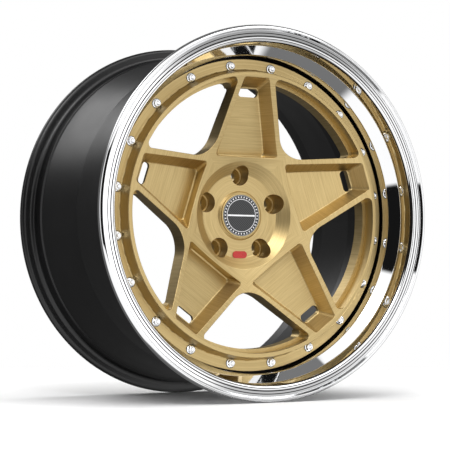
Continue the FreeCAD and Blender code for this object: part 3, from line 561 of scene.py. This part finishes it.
# %% Coatings
def coating(name, dark, bright, polish, grain_height, **sockets):
    """A plain coating or moulding between two colours, with its roughness between two values."""
    made, tree, shader, place = new_material(name, **sockets)
    clouds = use_group(tree, mottle, place, Cloud=160.0, Grain=1800.0)
    connect(tree, blend_colours(tree, clouds.outputs["Cloud"], dark, bright),
            shader.inputs["Base Color"])
    connect(tree, ramp_between(tree, clouds.outputs["Grain"], 0.3, 0.7, *polish),
            shader.inputs["Roughness"])
    bump(tree, shader, clouds.outputs["Grain"], grain_height, strength=0.6)
    return made


rubber = coating("valve_rubber", colour(22, 22, 22), colour(36, 36, 36),
                 polish=(0.6, 0.8), grain_height=0.03 * MM)
sealant = coating("sealant", colour(52, 52, 54), colour(72, 72, 75),
                  polish=(0.5, 0.7), grain_height=0.05 * MM)
enamel = coating("badge_enamel", colour(164, 24, 16), colour(188, 34, 24),
                 polish=(0.22, 0.32), grain_height=0.004 * MM, Coat_Weight=0.3)
print_silver = coating("silver_print", colour(222, 223, 226), colour(244, 244, 246),
                       polish=(0.3, 0.4), grain_height=0.003 * MM)
# Painted shade: a near-black colour for the rings that stand in for the shade round each bolt head.
shade_ring_black = coating("shade_ring_black", colour(14, 13, 12), colour(24, 23, 21),
                       polish=(0.35, 0.5), grain_height=0.01 * MM)

# %% Emblem weave
weave_black, tree, shader, place = new_material("emblem_weave", Coat_Weight=0.15,
                                                Coat_Roughness=0.1)
weave = use_group(tree, hatch, place, Pitch=0.0036)
clouds = use_group(tree, mottle, place, Cloud=200.0, Grain=2500.0)
connect(tree, blend_colours(tree, weave.outputs["Weave"], colour(4, 4, 5), colour(62, 63, 65)),
        shader.inputs["Base Color"])
connect(tree, ramp_between(tree, clouds.outputs["Cloud"], 0.3, 0.7, 0.3, 0.45),
        shader.inputs["Roughness"])
bump(tree, shader, weave.outputs["Weave"], 0.03 * MM, strength=0.5)

# %% Floor finish
FLOOR_CLOUD = 2.0
FLOOR_SOLID = 0.55
FLOOR_GONE = 1.1

pale, tree, shader, place = new_material("studio_floor", Roughness=0.9, Specular_IOR_Level=0.1)
clouds = use_group(tree, mottle, place, Cloud=FLOOR_CLOUD, Grain=60.0)
connect(tree, blend_colours(tree, clouds.outputs["Cloud"], colour(247, 247, 247),
                            colour(251, 251, 251)), shader.inputs["Base Color"])
radius, angle, along = polar(tree, place)
reach = calculate(tree, "SQRT", calculate(tree, "ADD", calculate(tree, "MULTIPLY", radius, radius),
                                          calculate(tree, "MULTIPLY", along, along)))
connect(tree, ramp_between(tree, reach, FLOOR_SOLID, FLOOR_GONE, 1.0, 0.0), shader.inputs["Alpha"])
floor_mesh.materials.append(pale)

# %% [markdown]
# ## Dress the CAD nodes
# Most CAD nodes already have the right shape, so they stay and only get their finish. The lip,
# the bolts, the nuts and the valve stem are replaced further on, because their grooves, their
# polish and their threads need finer geometry.

# %% Finishes on CAD nodes
FINISHES = {
    "centre_disc": gold, "cap_body": gold, "inner_barrel": black, "rim_sealant": sealant,
    "cap_emblem": weave_black, "cap_spring_ring": spring_steel, "hub_badge": enamel,
    "valve_grommet": rubber, "valve_washer": valve_metal, "valve_nut": valve_metal,
    "valve_core_body": core_brass, "valve_core_pin": core_brass, "valve_core_seal": rubber,
    "valve_core_spring": spring_steel, "valve_cap": cap_metal, "valve_cap_gasket": rubber,
}

for node, finish in FINISHES.items():
    data = nodes[node].data
    data.materials.clear()
    data.materials.append(finish)
print("dressed", len(FINISHES), "CAD nodes")

# %% [markdown]
# ## Geometry Nodes tools
# Three rules make the remaining pieces. A lathe sweeps a profile round the axis, a ring of copies
# sets one part round the axis again and again, and a ring of holes drills through a part. Each
# rule is a Geometry Nodes tree with named inputs. It is evaluated once and its result becomes a
# plain mesh.


# %% Start a Geometry Nodes tree
SHARP_TURN = math.radians(32)


def new_tree(name, inputs):
    """A tree that takes a seed mesh and named inputs, and the identifier of each input."""
    tree = bpy.data.node_groups.new(name, "GeometryNodeTree")
    tree.interface.new_socket("Geometry", in_out="INPUT", socket_type="NodeSocketGeometry")
    keys = {}
    for label, kind in inputs + [("Material", "NodeSocketMaterial")]:
        keys[label] = tree.interface.new_socket(label, in_out="INPUT", socket_type=kind).identifier
    tree.interface.new_socket("Geometry", in_out="OUTPUT", socket_type="NodeSocketGeometry")
    return tree, keys, tree.nodes.new("NodeGroupInput").outputs


def end_tree(tree, given, geometry):
    """Marks sharp edges, shades smoothly, realizes instances and sets the material."""
    steps = [add_node(tree, "GeometryNodeRealizeInstances"),
             add_node(tree, "GeometryNodeSetShadeSmooth"),
             add_node(tree, "GeometryNodeStoreNamedAttribute", data_type="BOOLEAN", domain="EDGE"),
             add_node(tree, "GeometryNodeSetMaterial")]
    for node in steps:
        connect(tree, geometry, node.inputs["Geometry"])
        geometry = node.outputs["Geometry"]
    turn = add_node(tree, "GeometryNodeInputMeshEdgeAngle").outputs["Unsigned Angle"]
    steps[2].inputs["Name"].default_value = "sharp_edge"
    connect(tree, calculate(tree, "GREATER_THAN", turn, SHARP_TURN), steps[2].inputs["Value"])
    connect(tree, given["Material"], steps[3].inputs["Material"])
    connect(tree, geometry, tree.nodes.new("NodeGroupOutput").inputs["Geometry"])


# %% Grow a piece
def grow(name, seed, tree, keys, **settings):
    """The plain mesh object that a tree makes of a seed mesh with these inputs."""
    holder = bpy.data.objects.new(name + "_seed", seed)
    scene.collection.objects.link(holder)
    modifier = holder.modifiers.new("tree", "NODES")
    modifier.node_group = tree
    for label, value in settings.items():
        modifier[keys[label.replace("_", " ")]] = value
    shown = holder.evaluated_get(bpy.context.evaluated_depsgraph_get())
    made = bpy.data.meshes.new_from_object(shown)
    bpy.data.objects.remove(holder)
    made.name = name
    piece = bpy.data.objects.new(name, made)
    scene.collection.objects.link(piece)
    shell = bmesh.new()
    shell.from_mesh(made)
    volume = round(shell.calc_volume(signed=True) * 1e6, 2)
    print(name, len(made.polygons), "faces,", volume, "cm3,",
          sum(not edge.is_manifold for edge in shell.edges), "open edges")
    shell.free()
    return piece


# %% Lathe tree
lathe, lathe_keys, given = new_tree("lathe", [("Segments", "NodeSocketInt")])
size = add_node(lathe, "GeometryNodeAttributeDomainSize")
connect(lathe, given["Geometry"], size.inputs["Geometry"])
columns = calculate(lathe, "ADD", given["Segments"], 1.0)
grid = add_node(lathe, "GeometryNodeMeshGrid")
connect(lathe, size.outputs["Point Count"], grid.inputs["Vertices X"])
connect(lathe, columns, grid.inputs["Vertices Y"])
index = add_node(lathe, "GeometryNodeInputIndex").outputs[0]
middle = calculate(lathe, "ADD", index, 0.5)
row = calculate(lathe, "FLOOR", calculate(lathe, "DIVIDE", middle, columns))
column = calculate(lathe, "SUBTRACT", index, calculate(lathe, "MULTIPLY", row, columns))
share = calculate(lathe, "DIVIDE", column, given["Segments"])
angle = calculate(lathe, "MULTIPLY", share, math.tau)
sample = add_node(lathe, "GeometryNodeSampleIndex", data_type="FLOAT_VECTOR", domain="POINT")
connect(lathe, given["Geometry"], sample.inputs["Geometry"])
connect(lathe, add_node(lathe, "GeometryNodeInputPosition").outputs[0], sample.inputs["Value"])
connect(lathe, row, sample.inputs["Index"])
profile = add_node(lathe, "ShaderNodeSeparateXYZ")
connect(lathe, sample.outputs["Value"], profile.inputs[0])
radius, along = profile.outputs[0], profile.outputs[1]
swept = add_node(lathe, "GeometryNodeSetPosition")
connect(lathe, grid.outputs["Mesh"], swept.inputs["Geometry"])
east = calculate(lathe, "MULTIPLY", radius, calculate(lathe, "COSINE", angle))
up = calculate(lathe, "MULTIPLY", radius, calculate(lathe, "SINE", angle))
connect(lathe, combine(lathe, east, along, up), swept.inputs["Position"])
merged = add_node(lathe, "GeometryNodeMergeByDistance")
merged.inputs["Distance"].default_value = 0.001 * MM
connect(lathe, swept.outputs["Geometry"], merged.inputs["Geometry"])
end_tree(lathe, given, merged.outputs["Geometry"])

# %% Ring tree
def set_round(tree, given, part):
    """Copies of a part round the axis, turned from the first angle by equal shares."""
    spots = add_node(tree, "GeometryNodePoints")
    connect(tree, given["Count"], spots.inputs["Count"])
    index = add_node(tree, "GeometryNodeInputIndex").outputs[0]
    share = calculate(tree, "DIVIDE", index, given["Count"])
    turn = calculate(tree, "ADD", calculate(tree, "MULTIPLY", share, math.tau), given["First"])
    copies = add_node(tree, "GeometryNodeInstanceOnPoints")
    connect(tree, spots.outputs[0], copies.inputs["Points"])
    connect(tree, part, copies.inputs["Instance"])
    connect(tree, combine(tree, 0.0, turn, 0.0), copies.inputs["Rotation"])
    return copies.outputs["Instances"]


ring, ring_keys, given = new_tree("ring_of_copies", [("Count", "NodeSocketInt"),
                                                     ("First", "NodeSocketFloat")])
end_tree(ring, given, set_round(ring, given, given["Geometry"]))

# %% Drill tree
HOLE_SIDES = 32

drill, drill_keys, given = new_tree("ring_of_holes", [
    ("Count", "NodeSocketInt"), ("First", "NodeSocketFloat"), ("Circle", "NodeSocketFloat"),
    ("Hole", "NodeSocketFloat"), ("Depth", "NodeSocketFloat"), ("Place", "NodeSocketFloat")])
pin = add_node(drill, "GeometryNodeMeshCylinder")
pin.inputs["Vertices"].default_value = HOLE_SIDES
connect(drill, given["Hole"], pin.inputs["Radius"])
connect(drill, given["Depth"], pin.inputs["Depth"])
moved = add_node(drill, "GeometryNodeTransform")
connect(drill, pin.outputs["Mesh"], moved.inputs["Geometry"])
connect(drill, combine(drill, 0.0, given["Place"], given["Circle"]), moved.inputs["Translation"])
moved.inputs["Rotation"].default_value = (math.pi / 2, 0, 0)
pins = add_node(drill, "GeometryNodeRealizeInstances")
connect(drill, set_round(drill, given, moved.outputs["Geometry"]), pins.inputs["Geometry"])
cut = add_node(drill, "GeometryNodeMeshBoolean", operation="DIFFERENCE")
connect(drill, given["Geometry"], cut.inputs["Mesh 1"])
connect(drill, pins.outputs["Geometry"], cut.inputs["Mesh 2"])
end_tree(drill, given, cut.outputs["Mesh"])


# %% [markdown]
# ## Profiles
# A turned part is drawn as corners of radius, place along the axis and size of round. Each round
# becomes a short arc, with one more point close by on either side. Those extra points keep the
# flats flat when the surface is shaded smoothly.

# %% Rounded profiles
SUPPORT = 0.2
SMALL_ROUND = 2


def rounded(corners):
    """A seed mesh of points along a closed profile of (radius, y, round) corners in millimetres."""
    points = []
    for index, (radius, along, size) in enumerate(corners):
        here = Vector((radius, along))
        back = (Vector(corners[index - 1][:2]) - here).normalized()
        ahead = (Vector(corners[(index + 1) % len(corners)][:2]) - here).normalized()
        if size == 0:
            points.append(here)
            continue
        half = back.angle(ahead) / 2
        reach = size / math.tan(half)
        centre = here + (back + ahead).normalized() * (size / math.sin(half))
        start, end = here + back * reach, here + ahead * reach
        sweep = (end - centre).angle_signed(start - centre)
        steps = 10 if size > SMALL_ROUND else 4
        points.append(start + back * SUPPORT)
        points += [centre + Matrix.Rotation(sweep * step / steps, 2) @ (start - centre)
                   for step in range(steps + 1)]
        points.append(end + ahead * SUPPORT)
    points.append(points[0])
    seed = bpy.data.meshes.new("profile")
    seed.from_pydata([(p.x * MM, p.y * MM, 0) for p in points], [], [])
    return seed


# %% [markdown]
# ## Outer lip
# The lip is turned: the stepped mirror dish, a face with two fine grooves, the outer flange, the
# tyre's bead seat and hump, and the drop to the well. It follows the lathe rule exactly, so it is
# drawn as one profile. Its bolting flange is a thin ring of its own, so that only the flange is
# drilled.

# %% Lip profile
FACE_INNER, FACE_OUTER = (248.8, -145.2), (265.8, -143.6)


def groove(radius, half, depth):
    """A fine groove in the lip's dished face."""
    slope = (FACE_OUTER[1] - FACE_INNER[1]) / (FACE_OUTER[0] - FACE_INNER[0])
    levels = [(radius + side * half, side) for side in (-1, -0.4, 0.4, 1)]
    return [(spot, FACE_INNER[1] + slope * (spot - FACE_INNER[0]) + (depth if abs(side) < 1 else 0),
             0) for spot, side in levels]


FLANGE_PROFILE = [(212, -67, 0), (212, -72, 0.5), (235, -72, 0), (235, -67, 0)]
LIP_PROFILE = [
    (234.3, -67, 0), (234.3, -102.5, 4), (248.2, -117, 4),
    (*FACE_INNER, 6)] + groove(257.0, 0.8, 1.0) + groove(261.4, 0.6, 0.8) + [
    (*FACE_OUTER, 0.5), (268.6, -147.5, 0.8), (274, -147.5, 6), (274, -133.35, 6),
    (256.4, -133.35, 6.5), (254.7, -113.05, 2), (256.2, -108.55, 3), (253.95, -104.05, 4),
    (240, -96.8, 6), (240, -69.5, 0), (237.5, -67, 0)]

# %% Turn and drill the lip
BOLT_COUNT = 20
BOLT_CIRCLE = 221.2 * MM
FIRST_BOLT = math.pi / BOLT_COUNT

lip = grow("polished_lip", rounded(LIP_PROFILE), lathe, lathe_keys, Segments=640, Material=chrome)
blank = grow("flange_blank", rounded(FLANGE_PROFILE), lathe, lathe_keys, Segments=120,
             Material=chrome)
flange = grow("lip_flange", blank.data, drill, drill_keys, Count=BOLT_COUNT, First=FIRST_BOLT,
              Circle=BOLT_CIRCLE, Hole=4.1 * MM, Depth=12 * MM, Place=-69.5 * MM, Material=chrome)
bpy.data.objects.remove(blank)
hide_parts("outer_lip")
for piece in (lip, flange):
    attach(piece, "wheel")

# %% [markdown]
# ## Assembly bolts and nuts
# Twenty twelve-point bolts hold the three pieces together. One bolt is built as a stack of rings
# whose radius may change round the axis, which gives the star-shaped head and the thread. The
# ring tree then sets it round the wheel, and the same is done for the nuts behind the flange and
# for a near-black ring round each head, which is painted shade in the bolt's seat.


# %% Stack of rings
def stacked(levels, sides, closed=False):
    """A shell of rings round Y from (y, radius) levels, where a radius may depend on the angle."""
    shell = bmesh.new()
    rings = []
    for along, size in levels:
        turns = [math.tau * side / sides for side in range(sides)]
        sizes = [size(turn) if callable(size) else size for turn in turns]
        rings.append([shell.verts.new((r * MM * math.cos(t), along * MM, r * MM * math.sin(t)))
                      for r, t in zip(sizes, turns)])
    if closed:
        rings.append(rings[0])
    for lower, upper in zip(rings, rings[1:]):
        for side in range(sides):
            following = (side + 1) % sides
            shell.faces.new((lower[side], lower[following], upper[following], upper[side]))
    if not closed:
        for end in (rings[0], rings[-1]):
            shell.faces.new(end)
    bmesh.ops.recalc_face_normals(shell, faces=shell.faces)
    mesh = bpy.data.meshes.new("stack")
    shell.to_mesh(mesh)
    shell.free()
    return mesh


# %% Star, hexagon and thread
def hexagon(corner, turn):
    """Radius of a hexagon with this corner radius, at an angle."""
    fold = (turn + math.pi / 6) % (math.pi / 3) - math.pi / 6
    return corner * math.cos(math.pi / 6) / math.cos(fold)


def star(corner, share=1.0):
    """Radius round a twelve-point head, as a level of a stack."""
    return lambda turn: share * max(hexagon(corner, turn), hexagon(corner, turn + math.pi / 6))


def thread(radius, pitch, depth, start, end):
    """Levels of a screw thread between two places."""
    def wave(along):
        return lambda turn: radius - depth * abs(2 * ((along / pitch - turn / math.tau) % 1) - 1)
    count = round(abs(end - start) / pitch * 4)
    return [(start + (end - start) * n / count, wave(start + (end - start) * n / count))
            for n in range(count + 1)]


# %% Bolts
BOLT_LEVELS = [
    (-88.3, 1.4), (-88.5, 2.5), (-89.15, 2.9), (-89.2, 3.1), (-89.2, 4.0), (-89.1, star(5.7, 0.84)),
    (-88.5, star(5.7)), (-88.3, star(5.7)), (-84.75, star(5.7)), (-84.6, 6.05), (-84.55, 6.25),
    (-84.3, 6.6), (-84.1, 6.6), (-83.0, 6.6), (-82.8, 6.4), (-82.8, 4.0), (-59.4, 4.0),
] + thread(4.0, 1.25, 0.65, -59.0, -52.0) + [(-51.6, 3.2), (-51.5, 3.0)]

bolt_seed = stacked(BOLT_LEVELS, 48)
bolt_seed.transform(Matrix.Translation((0, 0, BOLT_CIRCLE)))
bolts = grow("ring_bolts", bolt_seed, ring, ring_keys, Count=BOLT_COUNT, First=FIRST_BOLT,
             Material=bolt_steel)
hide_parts("assembly_bolts")
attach(bolts, "wheel")

# %% Painted shade rings
# A near-black ring round each bolt head, painted shade in the seat.
SHADE_RING_LEVELS = [(-82.85, 6.65), (-82.85, 8.1), (-83.2, 8.2), (-83.8, 8.1), (-83.9, 7.95),
                 (-83.9, 6.65)]
shade_ring_seed = stacked(SHADE_RING_LEVELS, 32, closed=True)
shade_ring_seed.transform(Matrix.Translation((0, 0, BOLT_CIRCLE)))
shade_rings = grow("bolt_shade_rings", shade_ring_seed, ring, ring_keys, Count=BOLT_COUNT, First=FIRST_BOLT,
               Material=shade_ring_black)
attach(shade_rings, "wheel")

# %% Nuts
NUT_CORNER = 6.93


def flats(share):
    """Radius round a nut's six flats, as a level of a stack."""
    return lambda turn: share * hexagon(NUT_CORNER, turn)


NUT_LEVELS = [(-61.5, 4.15), (-61.5, 7.8), (-61.3, 8.0), (-60.1, 8.0), (-59.9, 7.8), (-59.85, 7.0),
              (-59.8, flats(1)), (-54.3, flats(1)), (-53.6, flats(0.92)), (-53.5, flats(0.9)),
              (-53.5, 4.8), (-54.1, 4.15)]
nut_seed = stacked(NUT_LEVELS, 48, closed=True)
nut_seed.transform(Matrix.Translation((0, 0, BOLT_CIRCLE)))
nuts = grow("ring_nuts", nut_seed, ring, ring_keys, Count=BOLT_COUNT, First=FIRST_BOLT,
            Material=bolt_steel)
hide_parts("assembly_nuts")
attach(nuts, "wheel")

# %% [markdown]
# ## Centre cap's print
# The cap's black disc carries a pale print: two thin rings, a ring of fine ticks between them and
# a slim bar across the middle. It stands a twentieth of a millimetre proud, as thick ink does.
# The rings follow the lathe rule and the ticks the ring rule.

# %% Printed rings
EMBLEM_FACE = -56.4
INK = 0.05


def printed_ring(name, inner, outer):
    """A thin printed ring on the cap's disc."""
    seed = rounded([(inner, EMBLEM_FACE + INK, 0), (inner, EMBLEM_FACE - INK, 0),
                    (outer, EMBLEM_FACE - INK, 0), (outer, EMBLEM_FACE + INK, 0)])
    return grow(name, seed, lathe, lathe_keys, Segments=128, Material=print_silver)


prints = [printed_ring("emblem_ring_inner", 23.9, 24.7),
          printed_ring("emblem_ring_outer", 30.0, 30.3)]

# %% Ticks and bar
TICKS = 36


def slab(width, low, high, front, back):
    """A small slab with a bevelled front edge, centred on X."""
    shell = bmesh.new()
    bmesh.ops.create_cube(shell, size=1)
    for vert in shell.verts:
        vert.co = Vector((vert.co.x * width, front if vert.co.y < 0 else back,
                          high if vert.co.z > 0 else low)) * MM
    middle = (front + back) / 2 * MM
    rim = [edge for edge in shell.edges if all(v.co.y < middle for v in edge.verts)]
    bmesh.ops.bevel(shell, geom=rim, offset=INK / 2 * MM, segments=2, affect="EDGES")
    mesh = bpy.data.meshes.new("slab")
    shell.to_mesh(mesh)
    shell.free()
    return mesh


tick = slab(width=1.5, low=26.3, high=28.7, front=EMBLEM_FACE - INK, back=EMBLEM_FACE + INK)
prints.append(grow("emblem_ticks", tick, ring, ring_keys, Count=TICKS, First=0.0,
                   Material=print_silver))
bar = slab(width=46.0, low=-1.2, high=1.2, front=EMBLEM_FACE - INK, back=EMBLEM_FACE + INK)
prints.append(grow("emblem_bar", bar, ring, ring_keys, Count=1, First=0.0, Material=print_silver))
for piece in prints:
    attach(piece, "centre_cap")

# %% [markdown]
# ## Valve stem
# The stem is a turned tube with a base, clamped through the well. Its thread shows between the
# nut and the cap, so the stem is stacked from rings like the bolts, with two threads, and then
# turned to point up.

# %% Stem
VALVE_Y = -45.0 * MM
STEM_LEVELS = [
    (-244, 1.5), (-244, 7.6), (-243.8, 8.0), (-243.4, 8.2), (-242.2, 8.2), (-242, 8.0), (-242, 4.0),
    (-229.6, 4.0)] + thread(4.0, 1.0, 0.45, -229.4, -216.9) + [(-216.5, 3.5)] + thread(
    3.8, 0.794, 0.3, -216.2, -208.2) + [(-207.5, 3.4), (-207.5, 2.6), (-226.5, 2.6), (-226.5, 1.5)]

stem_seed = stacked(STEM_LEVELS, 40, closed=True)
stem_seed.transform(Matrix.Translation((0, VALVE_Y, 0)) @ Matrix.Rotation(math.pi / 2, 4, "X"))
stem = grow("valve_tube", stem_seed, ring, ring_keys, Count=1, First=0.0, Material=valve_metal)
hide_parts("valve_stem")
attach(stem, "wheel")
